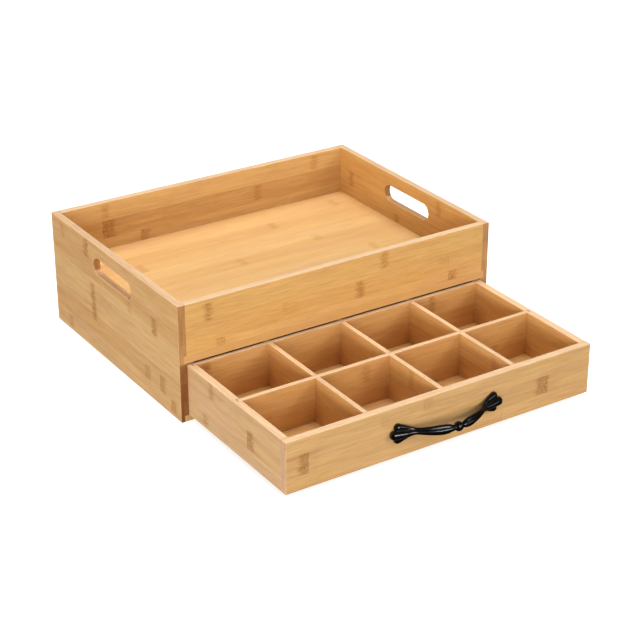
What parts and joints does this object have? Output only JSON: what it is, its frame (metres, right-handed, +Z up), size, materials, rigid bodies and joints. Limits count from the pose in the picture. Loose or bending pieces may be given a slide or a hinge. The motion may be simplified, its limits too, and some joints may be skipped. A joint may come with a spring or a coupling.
{
  "type": "tea bag drawer box",
  "caption": "Low bamboo table chest: open serving tray with hand slots in its sides, over a full-width sliding drawer divided into tea bag compartments, with a black bow pull.",
  "frame": {"origin": "centre of the case's footprint, on the underside of the base panel, where the box stands on a table", "axes": "+X to the right seen from the front, -Y out of the drawer front, the way the drawer opens, +Z up"},
  "size_m": [0.37, 0.476, 0.1244],
  "materials": {
    "bamboo": "edge-glued bamboo strips, satin clear lacquer",
    "dowel_wood": "plain turned hardwood",
    "black_enamel": "cast metal, glossy black enamel",
    "screw_steel": "zinc plated, satin"
  },
  "bodies": {
    "case": {"side_panel_left": "bamboo", "side_panel_right": "bamboo", "tray_front_board": "bamboo", "tray_floor_panel": "bamboo", "back_board": "bamboo", "base_panel": "bamboo", "front_board_dowels": "dowel_wood", "back_board_dowels": "dowel_wood"},
    "drawer": {"drawer_front": "bamboo", "drawer_side_left": "bamboo", "drawer_side_right": "bamboo", "drawer_back": "bamboo", "drawer_bottom": "bamboo", "long_divider_front": "bamboo", "long_divider_rear": "bamboo", "cross_divider_left": "bamboo", "cross_divider_centre": "bamboo", "cross_divider_right": "bamboo", "drawer_front_dowels": "dowel_wood", "drawer_back_dowels": "dowel_wood", "pull_handle": "black_enamel", "pull_screws": "screw_steel"}
  },
  "joints": [
    {"name": "drawer_slide", "type": "slide", "parent": "case", "child": "drawer", "axis": [0, -1, 0], "range_m": [-0.176, 0.05]}
  ]
}
